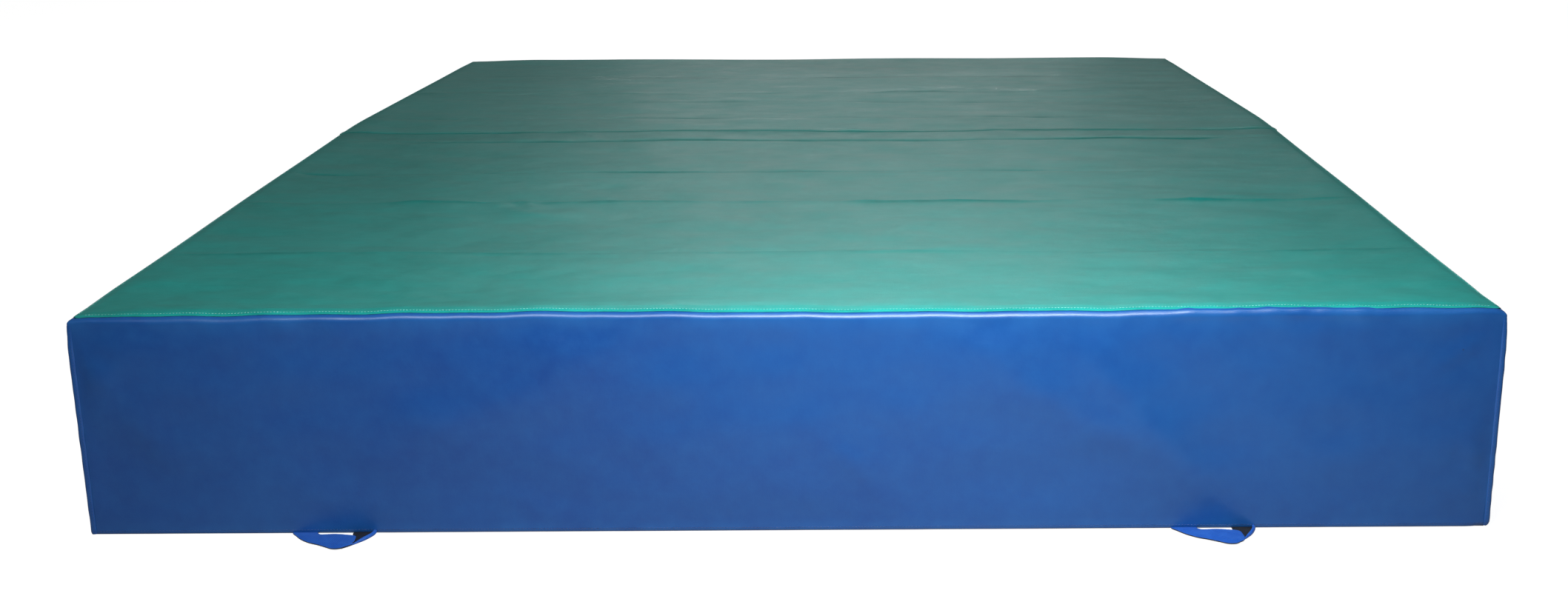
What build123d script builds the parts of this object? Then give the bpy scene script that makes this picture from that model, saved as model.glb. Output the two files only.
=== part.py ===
"""A one-piece crash landing mat: foam blocks in a sewn and zipped vinyl cover with webbing handles.

Millimetres. The origin is on the floor under the middle of the mat. +Z is up, the mat is 3 m
long along Y, and its front is the short side at -Y.
"""

import math
import os

from build123d import *

# Driving dimensions
mat_width = 2000.0  # along X
mat_length = 3000.0  # along Y
mat_height = 320.0
sheet = 1.0  # thickness of the coated fabric, tapes and patches
landing_foam_height = 25.0  # the firm layer that is landed on
flat_top_end = 20.0  # the top is level up to here, and bends down towards the back from here on
slope_start = 220.0  # from here to the back edge it slopes evenly
back_slope = math.radians(1.95)
lap = 20.0  # overlap of the two widths of fabric across the middle of the top
hem = 12.0  # how far the top is turned down over the sides
binding = 7.0  # legs of the folded strip round each upright corner
binding_round = 0.8
thread = 0.5  # how far a row of stitching stands out
thread_height = 0.8
stitch_inset = 2.5  # from a row of stitching to the edge that it holds

handle_half = 59.0  # half of a handle's width along the side
handle_bends = ((-14.0, 44.0), (5.0, 65.0), (18.0, 65.0), (45.0, 38.0), (59.0, 8.0))  # outer corners
webbing = 2.0  # thickness of the handle webbing
webbing_lift = 0.6  # underside of a handle above the floor
handle_gap = 0.6  # from the cover's outer plane to the moving webbing
handle_slot = (-19.0, 29.0, 13.0)  # the hand gap: left, right and depth
left_leg = (-58.0, -22.0)  # where the two ends go into the seam
right_leg = (30.0, 58.0)
anchor_depth = 50.0  # sewn-in length of a webbing end
patch_size = (160.0, 60.0)
front_handles = (-655.0, 603.0)  # places along X, from the middle of the front
side_handles = (-750.0, 750.0)  # places along Y on both long sides

zip_height = 150.0
zip_gap = 20.0  # between the upper and the lower back panel
zip_half = 935.0  # half of the row of teeth
tape_edge = 1.0  # from the zip's middle to the tape
tape_height = 24.0
teeth_gap = 1.2
teeth_height = 3.0
teeth_depth = 2.0
slider_half = 9.0
slider_height = 15.0
slider_plate = 1.6
slider_rest = 925.0
bail_radius = 1.0
bail_reach = 4.3  # from the slider's face to the middle of its bail
pull_length = 32.0
pull_width = 6.8
pull_thickness = 1.6

vent_hole = 5.0  # radii of the air vents
vent_barrel = 6.0
vent_flange = 10.5
vent_thickness = 0.8
vent_round = 0.3
vent_height = 160.0
vent_places = (-1125.0, -375.0, 375.0, 1125.0)

# Planes that the parts share
half_width = mat_width / 2
half_length = mat_length / 2
panel_x = half_width - sheet  # outer face of the long side panels
panel_y = half_length - sheet
foam_x = panel_x - sheet
foam_front = -(panel_y - sheet)
foam_back = panel_y - 2 * sheet  # leaves room for the zip's tape
foam_top = mat_height - sheet
lap_floor = foam_top - sheet  # underside of the front width where the back width laps over it
core_top = foam_top - landing_foam_height
floor_panel = sheet
bend_radius = (slope_start - flat_top_end) / math.sin(back_slope)
clearance = 0.4

os.makedirs("parts", exist_ok=True)


def save(piece, name):
    """Label a finished piece and write it."""
    piece.label = name
    export_step(piece, f"parts/{name}.step")


def sag(y):
    """How far the top has dropped at y."""
    bent = min(max(0.0, y - flat_top_end), slope_start - flat_top_end)
    past = max(0.0, y - slope_start)
    return bend_radius - math.sqrt(bend_radius**2 - bent**2) + past * math.tan(back_slope)


def sagging_line(start, end, height):
    """A sketch line along the top at the given height where it is level, with its bend and slope."""
    bent = (slope_start, height - sag(slope_start))
    Line((start, height), (flat_top_end, height))
    TangentArc((flat_top_end, height), bent, tangent=(1, 0))
    Line(bent, (end, height - sag(end)))


def sagging_layer(start, end, upper, lower):
    """Sketch lines round a layer of the back half, seen from the side.

    upper and lower are heights where the top is level; both faces sag with the top.
    """
    for height in (upper, lower):
        sagging_line(start, end, height)
    Line((start, upper), (start, lower))
    Line((end, upper - sag(end)), (end, lower - sag(end)))


def sagging_block(start, end, upper, bottom):
    """Sketch lines of a block with a flat bottom and a sagging top, seen from the side."""
    Line((start, bottom), (start, upper))
    sagging_line(start, end, upper)
    Line((end, upper - sag(end)), (end, bottom))
    Line((end, bottom), (start, bottom))


def block(low, high, mode=Mode.ADD):
    """A box between two corners."""
    middle = tuple((a + b) / 2 for a, b in zip(low, high))
    with Locations(middle):
        Box(*[b - a for a, b in zip(low, high)], mode=mode)


# Handles: the plane of each one has X along its side and -Y outwards
FRONT, BACK, LEFT, RIGHT = "front", "back", "left", "right"
ALONG = {FRONT: (1, 0, 0), BACK: (-1, 0, 0), LEFT: (0, -1, 0), RIGHT: (0, 1, 0)}
OUTWARD = {FRONT: (0, -1, 0), BACK: (0, 1, 0), LEFT: (-1, 0, 0), RIGHT: (1, 0, 0)}
REACH = {FRONT: half_length, BACK: half_length, LEFT: half_width, RIGHT: half_width}
PLACES = {
    FRONT: front_handles,
    BACK: front_handles,
    LEFT: side_handles,
    RIGHT: side_handles,
}


def handle_planes(side):
    """The planes of a side's handles, on the cover's outer plane at floor level."""
    return [
        Plane(
            origin=Vector(*OUTWARD[side]) * REACH[side] + Vector(*ALONG[side]) * place,
            x_dir=ALONG[side],
            z_dir=(0, 0, 1),
        )
        for place in PLACES[side]
    ]


def leg_boxes(side, outer, inner, spare=0.0, height=webbing):
    """Solids round both ends of each handle of a side, from outer to inner behind its plane."""
    for plane in handle_planes(side):
        with BuildSketch(plane.offset(floor_panel)) as legs:
            for low, high in (left_leg, right_leg):
                with Locations(((low + high) / 2, (outer + inner) / 2)):
                    Rectangle(high - low + 2 * spare, inner - outer)
        extrude(legs.sketch, amount=height, mode=Mode.SUBTRACT if spare else Mode.ADD)


def patch_recesses():
    """Cut the room for every handle's patch and webbing ends out of a foam block."""
    for side in (FRONT, BACK, LEFT, RIGHT):
        for plane in handle_planes(side):
            with BuildSketch(plane.offset(floor_panel)) as recess:
                with Locations((0, patch_size[1] / 2 + sheet)):
                    Rectangle(patch_size[0] + 2 * sheet, patch_size[1] + 2 * sheet)
            extrude(recess.sketch, amount=webbing + sheet + clearance, mode=Mode.SUBTRACT)


def vent_pockets():
    """Cut the room for the vents' barrels and washers out of a foam block."""
    for x in (-foam_x, foam_x):
        with BuildSketch(Plane.YZ.offset(x)) as pockets:
            with Locations(*[(y, vent_height) for y in vent_places]):
                Circle(vent_flange + 2 * sheet)
        extrude(pockets.sketch, amount=3 * sheet, both=True, mode=Mode.SUBTRACT)


# Foam
seam_tape_half = 20.0
with BuildPart() as core_foam_front:
    block((-foam_x, foam_front, floor_panel), (foam_x, 0, core_top))
    block((-foam_x, -seam_tape_half, floor_panel), (foam_x, 0, 2 * sheet), Mode.SUBTRACT)
    patch_recesses()
    vent_pockets()
save(core_foam_front.part, "core_foam_front")

groove_half = slider_height / 2 + 3 * sheet
groove_depth = 4 * sheet
with BuildPart() as core_foam_back:
    with BuildSketch(Plane.YZ):
        with BuildLine():
            sagging_block(0, foam_back, core_top, floor_panel)
        make_face()
    extrude(amount=foam_x, both=True)
    block((-foam_x, 0, floor_panel), (foam_x, seam_tape_half, 2 * sheet), Mode.SUBTRACT)
    block(
        (-foam_x, foam_back - groove_depth, zip_height - groove_half),
        (foam_x, foam_back, zip_height + groove_half),
        Mode.SUBTRACT,
    )
    patch_recesses()
    vent_pockets()
save(core_foam_back.part, "core_foam_back")

with BuildPart() as landing_foam_front:
    block((-foam_x, foam_front, core_top), (foam_x, 0, foam_top))
    block((-foam_x, -lap / 2 - sheet, lap_floor), (foam_x, 0, foam_top), Mode.SUBTRACT)
save(landing_foam_front.part, "landing_foam_front")

with BuildPart() as landing_foam_back:
    with BuildSketch(Plane.YZ):
        with BuildLine():
            sagging_layer(0, foam_back, foam_top, core_top)
        make_face()
    extrude(amount=foam_x, both=True)
    block((-foam_x, 0, lap_floor), (foam_x, lap / 2, foam_top), Mode.SUBTRACT)
save(landing_foam_back.part, "landing_foam_back")

# Top of the cover: two widths of fabric, turned down over the sides and lapped in the middle,
# where the front width steps down by its own thickness
with BuildPart() as top_panel_front:
    block((-half_width, -half_length, mat_height - hem), (half_width, -lap / 2, mat_height))
    block(
        (-panel_x, -panel_y, mat_height - hem), (panel_x, -lap / 2, foam_top), Mode.SUBTRACT
    )
    block((-foam_x, -lap / 2 - sheet, lap_floor), (foam_x, lap / 2, foam_top))
save(top_panel_front.part, "top_panel_front")

with BuildPart() as top_panel_back:
    with BuildSketch(Plane.YZ):
        with BuildLine():
            sagging_layer(-lap / 2, half_length, mat_height, mat_height - hem)
        make_face()
    extrude(amount=half_width, both=True)
    with BuildSketch(Plane.YZ):
        with BuildLine():
            sagging_layer(-lap / 2, panel_y, foam_top, mat_height - hem - sheet)
        make_face()
    extrude(amount=panel_x, both=True, mode=Mode.SUBTRACT)
save(top_panel_back.part, "top_panel_back")

# Sides of the cover
with BuildPart() as front_side_panel:
    block((-panel_x, -panel_y, floor_panel), (panel_x, foam_front, foam_top))
    leg_boxes(FRONT, 0, 3 * sheet, spare=clearance, height=webbing + clearance)
save(front_side_panel.part, "front_side_panel")

for side, x in ((LEFT, -panel_x), (RIGHT, foam_x)):
    with BuildPart() as long_side_panel:
        with BuildSketch(Plane.YZ.offset(x)):
            with BuildLine():
                sagging_block(foam_front, panel_y - sheet, foam_top, floor_panel)
            make_face()
            with Locations(*[(y, vent_height) for y in vent_places]):
                Circle(vent_barrel + clearance / 4, mode=Mode.SUBTRACT)
        extrude(amount=sheet)
        leg_boxes(side, 0, 3 * sheet, spare=clearance, height=webbing + clearance)
    save(long_side_panel.part, f"{side}_side_panel")

with BuildPart() as back_panel_lower:
    block(
        (-panel_x, panel_y - sheet, floor_panel),
        (panel_x, panel_y, zip_height - zip_gap / 2),
    )
    leg_boxes(BACK, 0, 3 * sheet, spare=clearance, height=webbing + clearance)
save(back_panel_lower.part, "back_panel_lower")

with BuildPart() as back_panel_upper:
    block(
        (-panel_x, panel_y - sheet, zip_height + zip_gap / 2),
        (panel_x, panel_y, foam_top - sag(panel_y)),
    )
    # The fabric runs on past both ends of the zip
    for end in (-1, 1):
        inner, outer = sorted((end * (zip_half + zip_gap), end * panel_x))
        block(
            (inner, panel_y - sheet, zip_height - zip_gap / 2),
            (outer, panel_y, zip_height + zip_gap / 2),
        )
save(back_panel_upper.part, "back_panel_upper")

# Underside of the cover
for name, start, end in (("front", -panel_y, 0), ("back", 0, panel_y)):
    with BuildPart() as base_panel:
        block((-panel_x, start, 0), (panel_x, end, floor_panel))
    save(base_panel.part, f"base_panel_{name}")

with BuildPart() as base_seam_tape:
    block(
        (-foam_x + sheet, -seam_tape_half + sheet, floor_panel),
        (foam_x - sheet, seam_tape_half - sheet, 2 * sheet),
    )
save(base_seam_tape.part, "base_seam_tape")

# Folded strips round the upright corners
for end, y_side in ((FRONT, -1), (BACK, 1)):
    top = mat_height - hem - sag(y_side * half_length)
    for side, x_side in ((LEFT, -1), (RIGHT, 1)):
        with BuildPart() as corner_binding:
            with BuildSketch(Plane.XY.offset(floor_panel)):
                with BuildLine():
                    Polyline(
                        (x_side * half_width, y_side * half_length),
                        (x_side * (half_width - binding), y_side * half_length),
                        (x_side * (half_width - binding), y_side * panel_y),
                        (x_side * panel_x, y_side * panel_y),
                        (x_side * panel_x, y_side * (half_length - binding)),
                        (x_side * half_width, y_side * (half_length - binding)),
                        close=True,
                    )
                make_face()
            extrude(amount=top - floor_panel)
            outer_edge = corner_binding.edges().filter_by(Axis.Z)
            outer_edge = outer_edge.sort_by_distance(
                (x_side * half_width, y_side * half_length, top / 2)
            )[0]
            fillet(outer_edge, radius=binding_round)
        save(corner_binding.part, f"corner_binding_{end}_{side}")

# Rows of stitching
hem_row = mat_height - hem + stitch_inset
with BuildPart() as top_edge_stitching:
    for face in (-half_width - thread, half_width):
        with BuildSketch(Plane.YZ.offset(face)):
            with BuildLine():
                sagging_layer(-half_length, half_length, hem_row + thread_height, hem_row)
            make_face()
        extrude(amount=thread)
    for face, row in (
        (-half_length - thread, hem_row),
        (half_length, hem_row - sag(half_length)),
    ):
        block((-half_width, face, row), (half_width, face + thread, row + thread_height))
save(top_edge_stitching.part, "top_edge_stitching")

with BuildPart() as centre_seam_stitching:
    for y in (stitch_inset - lap / 2, lap / 2 - stitch_inset):
        block((-half_width, y, mat_height), (half_width, y + thread_height, mat_height + thread))
save(centre_seam_stitching.part, "centre_seam_stitching")

corner_row = half_width - binding + stitch_inset / 2
corner_row_y = half_length - binding + stitch_inset / 2
with BuildPart() as corner_stitching:
    for x_side in (-1, 1):
        for y_side in (-1, 1):
            low_z = 2 * sheet
            high_z = mat_height - sag(y_side * half_length) - hem - sheet
            for inner, outer in (
                (
                    (x_side * corner_row, y_side * half_length),
                    (x_side * (corner_row + thread_height), y_side * (half_length + thread)),
                ),
                (
                    (x_side * half_width, y_side * corner_row_y),
                    (x_side * (half_width + thread), y_side * (corner_row_y + thread_height)),
                ),
            ):
                low = [min(a, b) for a, b in zip(inner, outer)]
                high = [max(a, b) for a, b in zip(inner, outer)]
                block((*low, low_z), (*high, high_z))
save(corner_stitching.part, "corner_stitching")

base_row = 5.0
with BuildPart() as base_edge_stitching:
    reach_x, reach_y = half_width - binding - sheet, half_length - binding - sheet
    for x in (-panel_x - thread, panel_x):
        block((x, -reach_y, base_row), (x + thread, reach_y, base_row + thread_height))
    for y in (-panel_y - thread, panel_y):
        block((-reach_x, y, base_row), (reach_x, y + thread, base_row + thread_height))
save(base_edge_stitching.part, "base_edge_stitching")

with BuildPart() as zip_stitching:
    for offset in (-zip_gap / 2 - stitch_inset, zip_gap / 2 + stitch_inset):
        z = zip_height + offset
        block((-zip_half, panel_y, z), (zip_half, panel_y + thread, z + thread_height))
save(zip_stitching.part, "zip_stitching")

# Zip across the back
tape_half = zip_half + zip_gap
for name, up in (("upper", 1), ("lower", -1)):
    with BuildPart() as zip_tape:
        low, high = sorted(
            (zip_height + up * tape_edge, zip_height + up * (tape_edge + tape_height))
        )
        block((-tape_half, foam_back, low), (tape_half, foam_back + sheet, high))
    save(zip_tape.part, f"zip_tape_{name}")

    with BuildPart() as zip_teeth:
        low, high = sorted(
            (
                zip_height + up * teeth_gap / 2,
                zip_height + up * (teeth_gap / 2 + teeth_height),
            )
        )
        teeth_back = foam_back + sheet
        block((-zip_half, teeth_back, low), (zip_half, teeth_back + teeth_depth, high))
    save(zip_teeth.part, f"zip_teeth_{name}")

stop_size = 4.0
teeth_face = foam_back + sheet + teeth_depth
with BuildPart() as zip_top_stops:
    for up in (-1, 1):
        low, high = sorted(
            (
                zip_height + up * teeth_gap / 2,
                zip_height + up * (teeth_gap / 2 + teeth_height),
            )
        )
        block(
            (zip_half + sheet, foam_back + sheet, low),
            (zip_half + sheet + stop_size, teeth_face, high),
        )
save(zip_top_stops.part, "zip_top_stops")

with BuildPart() as zip_bottom_stop:
    block(
        (-zip_half - sheet - stop_size, foam_back + sheet, zip_height - teeth_height),
        (-zip_half - sheet, teeth_face, zip_height + teeth_height),
    )
save(zip_bottom_stop.part, "zip_bottom_stop")

plate_face = teeth_face + clearance + slider_plate
bail_y = plate_face + bail_reach
with BuildPart() as zip_slider:
    # Front plate with its two turned-in edges, and the back plate behind the tapes
    with BuildSketch(Plane.XZ.offset(-plate_face)):
        with Locations((slider_rest, zip_height)):
            RectangleRounded(2 * slider_half, slider_height, 3 * slider_plate)
    extrude(amount=slider_plate)
    edge_back = foam_back + sheet + clearance
    flat_half = slider_half - 3 * slider_plate
    for up in (-1, 1):
        low, high = sorted(
            (
                zip_height + up * slider_height / 2,
                zip_height + up * (slider_height / 2 - slider_plate),
            )
        )
        block(
            (slider_rest - flat_half, edge_back, low),
            (slider_rest + flat_half, plate_face - slider_plate, high),
        )
    rear_face = foam_back - clearance
    block(
        (slider_rest - slider_half, rear_face - slider_plate, zip_height - slider_height / 2),
        (slider_rest + slider_half, rear_face, zip_height + slider_height / 2),
    )
    post_half = teeth_gap / 4
    block(
        (slider_rest - slider_half, rear_face, zip_height - post_half),
        (slider_rest - slider_half + stop_size, plate_face - slider_plate, zip_height + post_half),
    )
    # The bail that carries the pull
    for end in (-1, 1):
        post_x = slider_rest + end * (pull_width / 2 + 2 * bail_radius)
        block(
            (post_x - bail_radius, plate_face, zip_height - bail_radius),
            (post_x + bail_radius, bail_y + bail_radius, zip_height + bail_radius),
        )
    with BuildSketch(Plane.YZ.offset(slider_rest)):
        with Locations((bail_y, zip_height)):
            Circle(bail_radius)
    extrude(amount=pull_width / 2 + 2 * bail_radius, both=True)
save(zip_slider.part, "zip_slider")

eye_radius = bail_radius + clearance + pull_thickness
with BuildPart() as zip_pull:
    with BuildSketch(Plane.YZ.offset(slider_rest)):
        with Locations((bail_y, zip_height)):
            Circle(eye_radius)
        with Locations((bail_y, zip_height - pull_length / 2)):
            Rectangle(pull_thickness, pull_length)
        with Locations((bail_y, zip_height)):
            Circle(bail_radius + clearance, mode=Mode.SUBTRACT)
    extrude(amount=pull_width / 2, both=True)
    fillet(
        zip_pull.edges().filter_by(Axis.Y).group_by(Axis.Z)[0],
        radius=pull_width / 2 - clearance,
    )
save(zip_pull.part, "zip_pull")

# Air vents in both long sides
for side, x_side in ((LEFT, -1), (RIGHT, 1)):
    face = Plane(origin=(x_side * panel_x, 0, 0), x_dir=(0, 1, 0), z_dir=(x_side, 0, 0))
    # This plane's second axis points down on the left and up on the right
    places = [(y, face.to_local_coords(Vector(0, 0, vent_height)).Y) for y in vent_places]
    with BuildPart() as vent_eyelets:
        with BuildSketch(face):
            with Locations(*places):
                Circle(vent_flange)
        extrude(amount=vent_thickness)
        with BuildSketch(face):
            with Locations(*places):
                Circle(vent_barrel)
        extrude(amount=-3 * vent_thickness)
        with BuildSketch(face):
            with Locations(*places):
                Circle(vent_hole)
        extrude(amount=3 * vent_thickness, both=True, mode=Mode.SUBTRACT)
        fillet(
            vent_eyelets.edges().filter_by(GeomType.CIRCLE).group_by(Axis.X)[-(x_side + 1) // 2],
            radius=vent_round,
        )
    save(vent_eyelets.part, f"{side}_vent_eyelets")

    with BuildPart() as vent_washers:
        with BuildSketch(face.offset(-sheet)):
            with Locations(*places):
                Circle(vent_flange)
                Circle(vent_barrel + clearance / 4, mode=Mode.SUBTRACT)
        extrude(amount=-vent_thickness)
    save(vent_washers.part, f"{side}_vent_washers")

# Webbing handles, their sewn-in ends and the patches that take their load
slot_left, slot_right, slot_depth = handle_slot
outline = [
    (-handle_half, handle_gap),
    *handle_bends,
    (handle_half, handle_gap),
    (slot_right, handle_gap),
    (slot_right, slot_depth),
    (slot_left, slot_depth),
    (left_leg[1], handle_gap),
]
for side, names in (
    (FRONT, ("left", "right")),
    (BACK, ("right", "left")),
    (LEFT, ("back", "front")),
    (RIGHT, ("front", "back")),
):
    for plane, name in zip(handle_planes(side), names):
        with BuildPart() as handle:
            with BuildSketch(plane.offset(webbing_lift)) as loop:
                with BuildLine():
                    Polyline(*[(along, -out) for along, out in outline], close=True)
                make_face()
                bends = [v for v in loop.vertices() if abs(v.Y) > 2 * handle_gap]
                fillet(bends, radius=3 * webbing)
            extrude(amount=webbing)
        save(handle.part, f"{side}_handle_{name}")

    with BuildPart() as handle_anchors:
        leg_boxes(side, 0, anchor_depth)
    save(handle_anchors.part, f"{side}_handle_anchors")

    with BuildPart() as handle_patches:
        for plane in handle_planes(side):
            with BuildSketch(plane.offset(floor_panel + webbing)):
                with Locations((0, patch_size[1] / 2 + 2 * sheet)):
                    Rectangle(*patch_size)
            extrude(amount=sheet)
    save(handle_patches.part, f"{side}_handle_patches")
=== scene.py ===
"""Looks of a crash landing mat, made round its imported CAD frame. Metres, in the CAD's frame."""

import math

import bmesh
import bpy
import numpy as np
from mathutils import Matrix, Vector


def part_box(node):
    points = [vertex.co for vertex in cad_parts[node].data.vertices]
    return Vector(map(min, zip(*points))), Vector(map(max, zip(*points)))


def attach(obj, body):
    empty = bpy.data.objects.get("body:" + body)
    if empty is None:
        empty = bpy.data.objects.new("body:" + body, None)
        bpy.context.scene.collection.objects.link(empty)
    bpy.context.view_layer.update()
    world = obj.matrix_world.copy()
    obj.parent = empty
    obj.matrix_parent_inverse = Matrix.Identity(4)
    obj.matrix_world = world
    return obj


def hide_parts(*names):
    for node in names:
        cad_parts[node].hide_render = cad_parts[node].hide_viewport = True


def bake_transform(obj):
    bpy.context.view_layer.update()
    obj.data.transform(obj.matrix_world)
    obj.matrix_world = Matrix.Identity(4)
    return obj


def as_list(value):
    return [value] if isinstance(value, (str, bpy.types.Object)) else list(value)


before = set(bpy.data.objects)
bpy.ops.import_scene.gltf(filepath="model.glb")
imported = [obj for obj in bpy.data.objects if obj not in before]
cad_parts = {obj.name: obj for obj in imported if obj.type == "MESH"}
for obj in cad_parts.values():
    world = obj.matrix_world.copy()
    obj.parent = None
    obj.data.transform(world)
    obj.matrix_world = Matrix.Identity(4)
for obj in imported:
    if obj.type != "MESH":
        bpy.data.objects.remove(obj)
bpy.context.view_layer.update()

# Sizes that come from the frame
front_low, front_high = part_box("top_panel_front")
back_low, back_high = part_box("top_panel_back")
HALF_W, HALF_L, HEIGHT = front_high.x, back_high.y, front_high.z
LAP = front_high.y  # the two widths overlap by this much on both sides of the middle
BACK_SAG = front_low.z - back_low.z
VINYL = HALF_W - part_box("front_side_panel")[1].x  # thickness of the coated fabric
binding_low, binding_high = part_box("corner_binding_front_right")
BINDING = binding_high.x - binding_low.x  # width of the corner strips on each face
ZIP_HEIGHT = (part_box("zip_tape_upper")[0].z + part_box("zip_tape_lower")[1].z) / 2
ZIP_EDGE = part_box("back_panel_lower")[1].z
ZIP_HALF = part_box("zip_teeth_upper")[1].x
vents_low, vents_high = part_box("right_vent_washers")
VENT_HEIGHT = (vents_low.z + vents_high.z) / 2
VENT_FLANGE = (vents_high.z - vents_low.z) / 2
VENT_CUT = 0.0062  # radius of the hole in the fabric
VENT_REACH = vents_high.y - VENT_FLANGE
VENT_PLACES = (-VENT_REACH, -VENT_REACH / 3, VENT_REACH / 3, VENT_REACH)

# Shape of the loose cover over the foam
FLAT_END = 0.02  # the top is level up to here, and bends down from here on
SLOPE_START = 0.22  # from here to the back edge it slopes evenly
BACK_SLOPE = math.atan(BACK_SAG / (HALF_L - (FLAT_END + SLOPE_START) / 2))
BEND_RADIUS = (SLOPE_START - FLAT_END) / math.sin(BACK_SLOPE)
TOP_ROUND = 0.012  # height of the rounded top edge
TOP_DEPTH = 0.014  # how far its rounding reaches in over the top, at the front and back
POST_ROUND = 0.012  # reach of the rounding of the upright corners
SQUARE = 8  # how square the corners are within that reach: 2 would be round
FOOT_ROUND = 0.005  # of the edge along the floor
GREEN_EDGE = 0.006  # where the green ends, inside the sharp edge of the top
GREEN_CORNER = 0.012  # its rounding at the corners, seen from above
GREEN_HEM = 0.022  # width of its turned-in edge
TUCK = GREEN_EDGE + 0.014  # how far the blue runs on over the top, under the green
STITCH = 0.0045  # pitch of the stitching
CORNER_GAP = 0.0035  # from the end of a side panel to the sharp corner
CREST = 0.09  # how far in from the edges, and down them, the foam pushes the cover up
CREST_SIDE = 0.0015  # and how high along the sides
CREST_BACK = 0.003  # and at the back
PUFF = 0.0034  # how far the green bulges up beside its seam
SKIN = 0.9 * VINYL  # thickness of the top and sides; a little is left free between layers
THIN_SKIN = 0.85 * VINYL  # and of the corner strips and the base
LAP_STEP = 1.1 * VINYL  # how far the back width is lifted where it lies on the front one
HELD_DOWN = 0.8 * VINYL  # how far a sewn edge is pressed into what it lies on
# How high along the front: place along X, and height
CREST_FRONT = (
    (-1.0, 0.0), (-0.97, 0.003), (-0.7, 0.0052), (-0.32, 0.0086), (0.05, 0.0052),
    (0.45, 0.0055), (0.65, 0.008), (0.96, 0.0065), (0.985, 0.005), (1.0, 0.0006),
)


def smooth(t):
    t = np.clip(t, 0.0, 1.0)
    return t * t * (3 - 2 * t)


def bell(t):
    return np.exp(-(t**2))


def inside(x, y):
    """How far in a place lies from the nearest edge of the top."""
    return np.minimum(HALF_W - np.abs(x), HALF_L - np.abs(y))


def off_corner(x, y, reach):
    """0 at the corners of the top, and 1 from reach on."""
    return smooth(np.maximum(HALF_W - np.abs(x), HALF_L - np.abs(y)) / reach)


def sag(y):
    """How far the top has dropped at y."""
    bent = np.clip(y, FLAT_END, SLOPE_START) - FLAT_END
    past = np.maximum(0.0, y - SLOPE_START)
    return BEND_RADIUS - np.sqrt(BEND_RADIUS**2 - bent**2) + past * math.tan(BACK_SLOPE)


def crest(x, y):
    """How far the foam pushes the top edges up, between the corners that the cover pulls down."""
    inside_x, inside_y = np.maximum(HALF_W - np.abs(x), 0), np.maximum(HALF_L - np.abs(y), 0)
    places, heights = np.array(CREST_FRONT).T
    front = np.interp(x, places, heights)
    front = front + 0.0005 * field(x, 0 * x, (0.11, 1), 17, 6) * smooth(inside_x / 0.1)
    back = CREST_BACK * smooth(inside_x / 0.2) * (1 + 0.3 * field(x, 0 * x, (0.7, 1), 18, 5))
    side = CREST_SIDE * smooth(inside_y / 0.2) * (1 + 0.3 * field(y, 0 * y, (0.9, 1), 19, 5))
    ends = np.where(y < 0, front, back) * bell(inside_y / CREST)
    return np.maximum(ends, side * bell(inside_x / CREST))


def unsagged(z, y):
    """The height on the sharp box that ends up at height z, where the top has sagged."""
    return z * HEIGHT / (HEIGHT - sag(y))


def cover(x, y, z, lift=0.0):
    """Points of the sharp box moved onto the rounded, sagging cover, and off it by lift."""
    x, y, z, lift = np.broadcast_arrays(*[np.asarray(a, float) for a in (x, y, z, lift)])
    near_top = smooth((z - HEIGHT + 0.09) / 0.07)
    plan = POST_ROUND + (TOP_DEPTH - POST_ROUND) * near_top * smooth((HALF_W - np.abs(x)) / 0.15)
    rounds = np.stack([plan, plan, TOP_ROUND * (0.6 + 0.4 * off_corner(x, y, 0.15))], -1)
    reach = np.array([HALF_W, HALF_L, HEIGHT]) - rounds
    sharp = np.stack([x, y, z], -1)
    core = np.clip(sharp, -reach, reach)
    ratio = (sharp - core) / rounds
    share = np.abs(ratio).max(-1, keepdims=True)  # 1 on the box's surface, and less inside it
    level = (np.abs(ratio[..., :2]) ** SQUARE).sum(-1, keepdims=True) ** (1 / SQUARE)
    round_off = share / np.maximum(np.hypot(level, ratio[..., 2:]), 1e-9)
    slope = np.sign(ratio[..., :2]) * np.abs(ratio[..., :2]) ** (SQUARE - 1)
    slope *= level / np.maximum(np.linalg.norm(slope, axis=-1, keepdims=True), 1e-12)
    away = np.concatenate([slope, ratio[..., 2:]], -1) / rounds
    away /= np.maximum(np.linalg.norm(away, axis=-1, keepdims=True), 1e-9)
    point = core + ratio * round_off * rounds + away * share * lift[..., None]
    # The right front corner is worn rounder at the floor than the others
    lighter = smooth((x - HALF_W + 0.03) / 0.02) * smooth((-y - HALF_L + 0.03) / 0.02)
    foot = FOOT_ROUND * (1 + 0.9 * lighter)
    tuck = foot - np.sqrt(np.maximum(foot**2 - np.maximum(foot - z, 0.0) ** 2, 0.0))
    point[..., :2] -= away[..., :2] * tuck[..., None]
    pushed = crest(point[..., 0], point[..., 1]) * smooth((point[..., 2] - HEIGHT + CREST) / CREST)
    point[..., 2] += pushed - sag(point[..., 1]) * point[..., 2] / HEIGHT
    return point


def field(x, y, size, seed, count=9):
    """A smooth random field of about unit height, with features of size (along x, along y)."""
    rng = np.random.default_rng(seed)
    total = np.zeros(np.broadcast(x, y).shape)
    for _ in range(count):
        angle, phase, rate = rng.uniform(0, math.tau), rng.uniform(0, math.tau), rng.uniform(0.6, 1.5)
        along = rate * (math.cos(angle) * x / size[0] + math.sin(angle) * y / size[1])
        total += np.sin(math.tau * along + phase)
    return total * math.sqrt(2 / count)


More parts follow.
